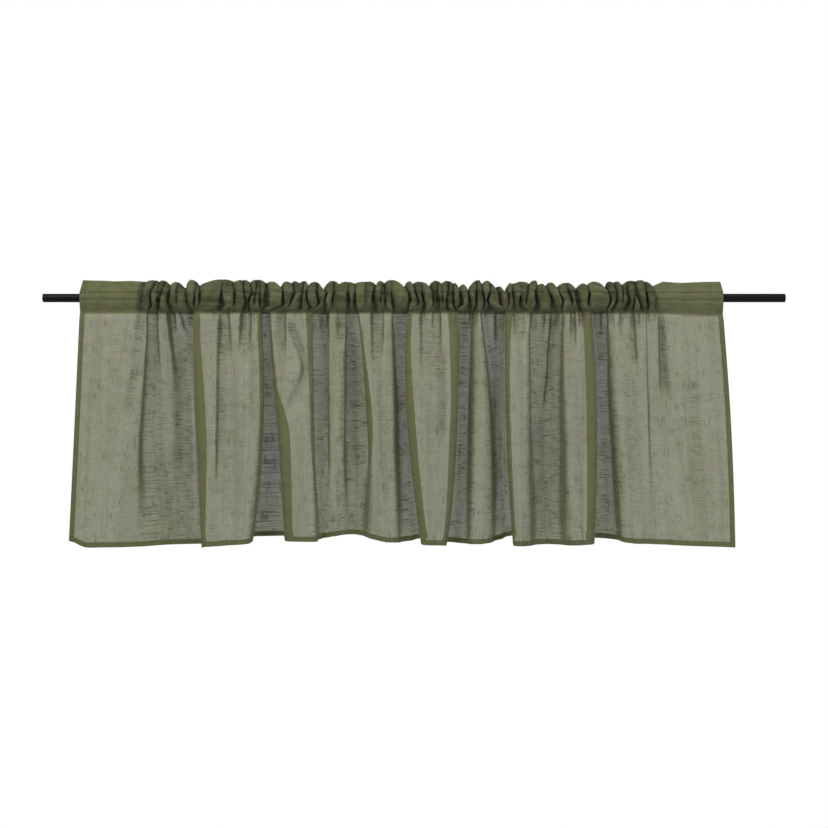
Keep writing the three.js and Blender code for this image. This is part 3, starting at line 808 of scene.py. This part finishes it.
def frill_row(share, side, puff):
    """A row of the frill between the upper stitches (0) and its top edge (1)."""
    x, out = heading_curve(mix(UPPER_STITCH, FRILL_LEVEL, share))
    swing = FRILL_SWING * (out - FRILL_MEAN * LIFT * GATHERED)
    lean = LEAN * uneven(x, 11.0, 2, 43) * share * GATHERED
    y = mix(SEAM_Y, FRILL_Y - swing + lean, float(smooth(share / STANDS_OVER)))
    xy = np.stack([mix(SEAM_X, x, float(smooth(share / OPENS_OVER))), y], axis=1)
    full = mix(FLAT_PUFF, 1.0, smooth(out / LIFT + 1 - GATHERED))
    xy = xy + normals_of(xy) * (side * puff * full)[:, None]
    z = mix(SEAM_Z, EDGE_Z, share)
    return np.column_stack([xy[:, 0] - inset(xy[:, 0], z), xy[:, 1], z]), in_shade(out, x, z)


# A turned side hem: how far in from the edge, and how far behind the cloth.
SIDE_TURNING = ((1.2, 0.5), (HEM_WIDTH - 0.4, 0.5), (HEM_WIDTH, 0.8), (HEM_WIDTH - 0.4, 1.1), (1.0, 1.1),
                (0.1, 0.6))
DIRECTION_OVER = 5  # columns over which the hem takes the direction of the cloth


def side_hem(row, inward):
    """The hem at the start of a row. inward is 1 where the wrong side of the cloth looks back, or else -1."""
    along = row[DIRECTION_OVER] - row[0]
    along, back = along / np.linalg.norm(along), np.array([0.0, 1.0, 0.0]) * inward
    return np.array([row[0] + along * s + back * b for s, b in SIDE_TURNING])


# ---- the cloth in one piece

LAYERED = 0.3  # how far the weave of the doubled heading is closed
BACK_SHADE = 0.3  # painted shade on the back is this share of the front's: the creases of the front are ridges on the back
# Rows of the turned-up hem: how far above its lower edge, and how far behind the face.
HEM_TURNING = ((1.6, 0.63), (HEM_WIDTH - 0.5, 0.63), (HEM_WIDTH, 1.0), (HEM_WIDTH - 0.5, 1.37), (1.0, 1.37),
               (0.2, 1.0), (0.0, 0.6), (0.2, 0.2))
FACE_RISE = 1.2  # the first row of the face, above the hem's lower edge
HEM_ROWS, LONG_ROWS, TOP_ROWS = 3, 28, 20  # rows of the face: hem, skirt and top
LONG_FROM, LONG_TO, TOP_FROM = 0.965, 0.2, 0.18  # and their levels
# Rows of the frill, front and back: share of its height, and how far it is puffed.
FRILL_FRONT = ((0.0, 0.5), (0.1, 1.0), (0.24, 1.7), (0.4, 2.2), (0.56, 2.4), (0.72, 2.3), (0.85, 1.9),
               (0.94, 1.3), (0.985, 0.6))
FRILL_BACK = ((0.985, 0.6), (0.93, 1.3), (0.75, 2.2), (0.45, 2.3), (0.15, 1.2), (0.0, 0.5))
SEWN_ON, SEWN_BEHIND = (0.001, 0.009), 0.9  # levels of the strip sewn behind the face, and how far behind
FACE_START = len(HEM_TURNING)
FACE_ROWS = FACE_START + HEM_ROWS + LONG_ROWS + TOP_ROWS
HEM_STITCHES = FACE_START + HEM_ROWS - 1


def cloth_rows():
    """Rows from the turned-in edge of the bottom hem up the face, over the frill's top edge and down the back
    of the heading. With them come, point by point, how far the cloth is closed and how much shade is painted
    on it."""
    drop = LOWER_STITCH - HEM_Z.mean()
    layered = np.full(COLUMN_COUNT, LAYERED)
    rows = [(*skirt_row(1 - rise / drop, back), 1) for rise, back in HEM_TURNING]
    for start, end, count in ((1 - FACE_RISE / drop, 1 - HEM_WIDTH / drop, HEM_ROWS),
                              (LONG_FROM, LONG_TO, LONG_ROWS), (TOP_FROM, 0.0, TOP_ROWS)):
        rows += [(*skirt_row(h), 1) for h in np.linspace(start, end, count)]

    def add(row, shade, inward):
        rows.append((row, layered, shade, inward))

    for z, reach, opened in FRONT_SECTION:
        add(*pocket_front(z, reach, opened), 1)
    for share, puff in FRILL_FRONT:
        add(*frill_row(share, -1, puff), 1)
    add(*frill_row(1.0, 0, 0), 1)
    for share, puff in FRILL_BACK:
        row, shade = frill_row(share, 1, puff)
        add(row, BACK_SHADE * shade, -1)
    for z, reach, opened in BACK_SECTION:
        add(*pocket_back(z, reach, opened), -1)
    rows += [(*skirt_row(h, SEWN_BEHIND), -1) for h in SEWN_ON]
    grid, closed, shade = [], [], []
    for row, closed_here, shade_here, inward in rows:
        left, right = side_hem(row, inward), side_hem(row[::-1], inward)[::-1]
        grid.append([*left, *row, *right])
        closed.append(np.pad(closed_here, len(SIDE_TURNING), mode="edge"))
        shade.append(np.pad(shade_here, len(SIDE_TURNING)))
    return np.array(grid), np.array(closed), np.array(shade)


SIDE_STITCH = 1.2  # from the inner edge of a side hem to its stitches


def make_cloth():
    grid, closed, shade = cloth_rows()
    grid = grid * MM
    index = np.arange(grid[:, :, 0].size).reshape(grid.shape[:2])
    corners = [index[:-1, :-1], index[:-1, 1:], index[1:, 1:], index[1:, :-1]]
    faces = np.stack(corners, axis=-1).reshape(-1, 4)
    mesh = bpy.data.meshes.new("cloth_skin")
    mesh.from_pydata(grid.reshape(-1, 3), [], faces)

    # the flat cloth: its width runs along the columns and its length along the rows
    turned = np.array([2 * HEM_WIDTH, HEM_WIDTH + 2, HEM_WIDTH + 1.5, HEM_WIDTH + 1, 3, 0.5])
    u = np.concatenate([ALONG[0] - turned, ALONG, ALONG[-1] + turned[::-1]])
    row_steps = np.median(np.linalg.norm(np.diff(grid, axis=0), axis=2), axis=1)
    v = np.concatenate([[0], np.cumsum(row_steps)]) / MM
    uv = np.stack(np.meshgrid(u * MM, v * MM), axis=-1).reshape(-1, 2)
    # the lines of stitches: along the bottom hem, under and over the pocket, and down the side hems
    over = len(FRONT_SECTION) + FACE_ROWS
    stitches = [v[HEM_STITCHES], v[FACE_ROWS - 1], v[over]]
    sides = [ALONG[0] + HEM_WIDTH - SIDE_STITCH, ALONG[-1] - HEM_WIDTH + SIDE_STITCH]
    layer = mesh.uv_layers.new(name="cloth_flat")
    layer.data.foreach_set("uv", uv[faces.reshape(-1)].reshape(-1).astype(np.float32))
    mesh.polygons.foreach_set("use_smooth", np.ones(len(faces), dtype=bool))
    # the shade painted into the cloth's colour goes with the mesh as an attribute, beside how far the weave
    # is closed
    for name, values in (("closed", closed), ("painted_shade", shade)):
        attribute = mesh.attributes.new(name, "FLOAT", "POINT")
        attribute.data.foreach_set("value", values.reshape(-1).astype(np.float32))
    mesh.validate()
    piece = bpy.data.objects.new("pelmet_cloth", mesh)
    bpy.context.scene.collection.objects.link(piece)
    return piece, [line * MM for line in stitches], [line * MM for line in sides]


# ---- materials

class Maker:
    """Puts nodes into a material or a world."""

    def __init__(self, owner):
        owner.use_nodes = True
        self.owner, self.tree = owner, owner.node_tree
        self.tree.nodes.clear()

    def put(self, n, key, value):
        if isinstance(value, bpy.types.NodeSocket):
            self.tree.links.new(value, n.inputs[key])
        else:
            n.inputs[key].default_value = value

    def node(self, kind, inputs=None, **settings):
        n = self.tree.nodes.new(kind)
        for key, value in settings.items():
            setattr(n, key, value)
        for key, value in (inputs or {}).items():
            self.put(n, key, value)
        return n

    def shader(self, kind, inputs=None):
        return self.node("ShaderNode" + kind, inputs).outputs[0]

    def math(self, operation, a, b=None, clamp=False):
        inputs = {i: value for i, value in enumerate((a, b)) if value is not None}
        return self.node("ShaderNodeMath", inputs, operation=operation, use_clamp=clamp).outputs[0]

    def done(self, shader, kind="Material"):
        self.node("ShaderNodeOutput" + kind, {0: shader})
        return self.owner

    def times(self, first, *others):
        for value in others:
            first = self.math("MULTIPLY", first, value)
        return first

    def rest(self, share):
        return self.math("SUBTRACT", 1.0, share)

    def ramp(self, value, low, high, to_low=0.0, to_high=1.0):
        ends = {"Value": value, "From Min": low, "From Max": high, "To Min": to_low, "To Max": to_high}
        return self.node("ShaderNodeMapRange", ends, interpolation_type="SMOOTHSTEP").outputs["Result"]

    def blend(self, share, a, b):
        n = self.node("ShaderNodeMix", data_type="RGBA")
        for key, value in ((0, share), (6, a), (7, b)):
            self.put(n, key, value)
        return n.outputs[2]

    def noise(self, place, scale, detail, **settings):
        inputs = {"Vector": place, "Scale": scale, "Detail": detail}
        return self.node("ShaderNodeTexNoise", inputs, **settings).outputs["Fac"]

    def streaks(self, uv, across, along, detail, seed):
        """Noise drawn out into streaks: sizes in metres along u and v of the cloth."""
        place = self.shader("Mapping", {"Vector": uv, "Scale": (1 / across, 1 / along, 1),
                                        "Location": (seed, seed * 1.7, 0)})
        return self.noise(place, 1.0, detail, noise_dimensions="2D")


# the yarn, in metres
THREAD = 0.0009  # twice the distance between two threads of the weave
STITCH_PITCH, STITCH_SHARE = 0.0034, 0.72
SEWING_THREAD = 0.0008
# the share of the cloth that is open, and what a slub takes from it and a thin place adds
OPEN_SHARE, SLUB_CLOSES, THIN_OPENS = 0.130, 0.72, 0.034
PASSES_LIGHT = 0.30  # share of the yarn's light that comes from behind
# colours of the cloth, and the dark colour that paints shade into creases, walls and valleys
MOSS, COOL_MOSS, WARM_MOSS = (0.179, 0.180, 0.076, 1), (0.166, 0.187, 0.078, 1), (0.194, 0.168, 0.085, 1)
PALE_YARN, DENSE_YARN = (0.190, 0.195, 0.090, 1), (0.105, 0.108, 0.045, 1)
SLUB_COLOUR, SEWING_COLOUR = (0.070, 0.072, 0.030, 1), (0.075, 0.080, 0.034, 1)
DEEP_SHADE = (0.020, 0.019, 0.006, 1)


def linen_voile(stitches, sides):
    """Thin linen voile, with lines of stitches at these places of the flat cloth."""
    m = Maker(bpy.data.materials.new("olive_linen_voile"))
    uv = m.node("ShaderNodeUVMap", uv_map="cloth_flat").outputs[0]
    part = m.node("ShaderNodeSeparateXYZ", {0: uv})
    u, v = part.outputs[0], part.outputs[1]
    weave = m.times(*[m.math("SINE", m.times(along, 2 * math.pi / THREAD)) for along in (u, v)])

    # thick places in the yarn, singly and in bundles, and thin places beside them
    bundles, weft_slub, weft_long, warp_slub, thin = [
        m.ramp(m.streaks(uv, *streak), low, high) for streak, low, high in (
            ((0.034, 0.028, 1.0, 2.2), 0.44, 0.60), ((0.014, 0.0016, 0.0, 3.1), 0.58, 0.72),
            ((0.038, 0.0017, 0.0, 7.7), 0.64, 0.78), ((0.0016, 0.022, 0.0, 5.3), 0.60, 0.76),
            ((0.012, 0.0021, 0.0, 9.9), 0.64, 0.78))]
    grain, clouds, drapes, warm = [m.streaks(uv, *streak) for streak in (
        (0.006, 0.0040, 1.0, 1.3), (0.09, 0.12, 2.0, 4.4), (0.016, 0.30, 1.0, 6.1), (0.05, 0.035, 1.0, 8.8))]

    closed, painted_shade = [m.node("ShaderNodeAttribute", attribute_name=name).outputs["Fac"]
                      for name in ("closed", "painted_shade")]
    slack_weave = m.ramp(closed, 0.0, 0.2)
    weft_slub = m.times(weft_slub, m.math("ADD", 0.12, m.times(bundles, 0.88)),
                        m.ramp(slack_weave, 0.0, 1.0, 0.30, 1.0))
    weft_long = m.times(weft_long, m.ramp(slack_weave, 0.0, 1.0, 0.35, 0.9))
    warp_slub = m.times(warp_slub, m.math("ADD", 0.25, m.times(bundles, 0.6)), 0.9)
    slub = m.math("MAXIMUM", m.math("MAXIMUM", weft_slub, weft_long), warp_slub)

    sewn = None
    for along, across, places in ((u, v, stitches), (v, u, sides)):
        dash = m.math("LESS_THAN", m.math("FRACT", m.math("DIVIDE", along, STITCH_PITCH)), STITCH_SHARE)
        for place in places:
            beside = m.math("ABSOLUTE", m.math("SUBTRACT", across, place))
            line = m.times(dash, m.math("LESS_THAN", beside, SEWING_THREAD / 2))
            sewn = line if sewn is None else m.math("MAXIMUM", sewn, line)

    open_share = m.times(m.rest(m.times(slub, SLUB_CLOSES)), OPEN_SHARE)
    open_share = m.math("ADD", open_share, m.times(thin, THIN_OPENS))
    open_share = m.times(open_share, m.rest(sewn), m.ramp(grain, 0.25, 0.75, 0.92, 1.08),
                         m.ramp(clouds, 0.3, 0.7, 0.96, 1.04), m.ramp(drapes, 0.3, 0.7, 0.91, 1.07))
    open_share = m.math("MULTIPLY", open_share, m.rest(closed), clamp=True)

    # the last tint is painted shade: the dark colour laid over creases, walls and valleys as far as the mesh
    # asks
    colour = m.blend(clouds, MOSS, COOL_MOSS)
    for share, tint in ((m.ramp(warm, 0.55, 0.75, 0.0, 0.5), WARM_MOSS),
                        (m.times(slub, 0.68), SLUB_COLOUR), (m.times(sewn, 0.8), SEWING_COLOUR),
                        (m.ramp(grain, 0.3, 0.7, 0.0, 0.25), PALE_YARN),
                        (m.ramp(drapes, 0.25, 0.6, 0.22, 0.0), DENSE_YARN),
                        (m.times(painted_shade, 0.86), DEEP_SHADE)):
        colour = m.blend(share, colour, tint)

    height = m.times(weave, 0.25)
    for relief, share in ((slub, 0.8), (grain, 0.8), (sewn, 1.5)):
        height = m.math("ADD", height, m.times(relief, share))
    bump = m.shader("Bump", {"Height": height, "Strength": 0.35, "Distance": 0.0003})

    yarn = m.shader("BsdfPrincipled", {"Base Color": colour, "Roughness": 0.88, "Normal": bump,
                                       "Specular IOR Level": 0.25, "Sheen Weight": 0.15,
                                       "Sheen Roughness": 0.5})
    through = m.shader("BsdfTranslucent", {"Color": colour, "Normal": bump})
    cloth = m.shader("MixShader", {0: PASSES_LIGHT, 1: yarn, 2: through})
    return m.done(m.shader("MixShader", {0: open_share, 1: cloth, 2: m.shader("BsdfTransparent")}))


def black_steel():
    m = Maker(bpy.data.materials.new("satin_black_steel"))
    place = m.node("ShaderNodeTexCoord").outputs["Object"]
    drawn = m.shader("Mapping", {"Vector": place, "Scale": (40, 900, 900)})
    grain, soft = m.noise(drawn, 1.0, 3.0), m.noise(place, 24.0, 3.0)
    colour = m.blend(soft, (0.0035, 0.0035, 0.004, 1), (0.006, 0.006, 0.0065, 1))
    bump = m.shader("Bump", {"Height": grain, "Strength": 0.1, "Distance": 0.0002})
    rough = m.ramp(soft, 0.3, 0.7, 0.36, 0.46)
    return m.done(m.shader("BsdfPrincipled", {"Base Color": colour, "Roughness": rough, "Normal": bump,
                                              "Specular IOR Level": 0.10}))


# ---- the studio

FLOOR_SIZE, FLOOR_Z = 3.2, -1.45
ROOM_LIGHT = 0.35  # strength of the white room's light
LIT = (-0.02, 0, -0.2)  # what the lamps are turned to


def area_light(name, place, size, power, colour=(1, 1, 1)):
    data = bpy.data.lights.new(name, "AREA")
    data.shape = "RECTANGLE"
    data.size, data.size_y = size
    data.energy, data.color = power, colour
    lamp = bpy.data.objects.new(name, data)
    lamp.location = place
    lamp.rotation_euler = (Vector(LIT) - Vector(place)).to_track_quat("-Z", "Y").to_euler()
    bpy.context.scene.collection.objects.link(lamp)


def make_studio():
    scene = bpy.context.scene
    scene.view_settings.view_transform, scene.view_settings.look = "Standard", "None"
    m = Maker(bpy.data.worlds.new("white_room"))
    seen = m.shader("Background", {"Color": (1, 1, 1, 1), "Strength": 1.0})
    lit = m.shader("Background", {"Color": (1, 1, 1, 1), "Strength": ROOM_LIGHT})
    ray = m.node("ShaderNodeLightPath").outputs["Is Camera Ray"]
    scene.world = m.done(m.shader("MixShader", {0: ray, 1: lit, 2: seen}), "World")

    bpy.ops.mesh.primitive_plane_add(size=FLOOR_SIZE, location=(0, 0, FLOOR_Z))
    floor = bpy.context.active_object
    floor.name = "pale_floor"
    m = Maker(bpy.data.materials.new("pale_floor_paint"))
    paint = m.shader("BsdfPrincipled", {"Base Color": (0.80, 0.80, 0.79, 1), "Roughness": 0.8})
    floor.data.materials.append(m.done(paint))

    area_light("key_left", (-1.9, -2.3, 1.5), (1.6, 1.6), 56)
    area_light("fill_right", (2.3, -2.0, 0.5), (1.6, 1.6), 34, (0.91, 0.96, 1.14))
    area_light("top_front", (0, -0.9, 2.3), (2.4, 1.0), 38)


def make_camera():
    data = bpy.data.cameras.new("front_camera")
    data.lens, data.sensor_width = 70, 36
    camera = bpy.data.objects.new("front_camera", data)
    bpy.context.scene.collection.objects.link(camera)
    camera.location = (0.0, -3.016, -0.2173)
    camera.rotation_euler = (math.pi / 2, 0, 0)
    bpy.context.scene.camera = camera


# ---- putting it together

bpy.ops.object.select_all(action="DESELECT")
make_camera()
make_studio()

cloth, stitches, sides = make_cloth()
cloth.data.materials.append(linen_voile(stitches, sides))
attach(cloth, "root")
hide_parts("cloth")

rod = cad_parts["rod"]
rod.data.materials.clear()
rod.data.materials.append(black_steel())
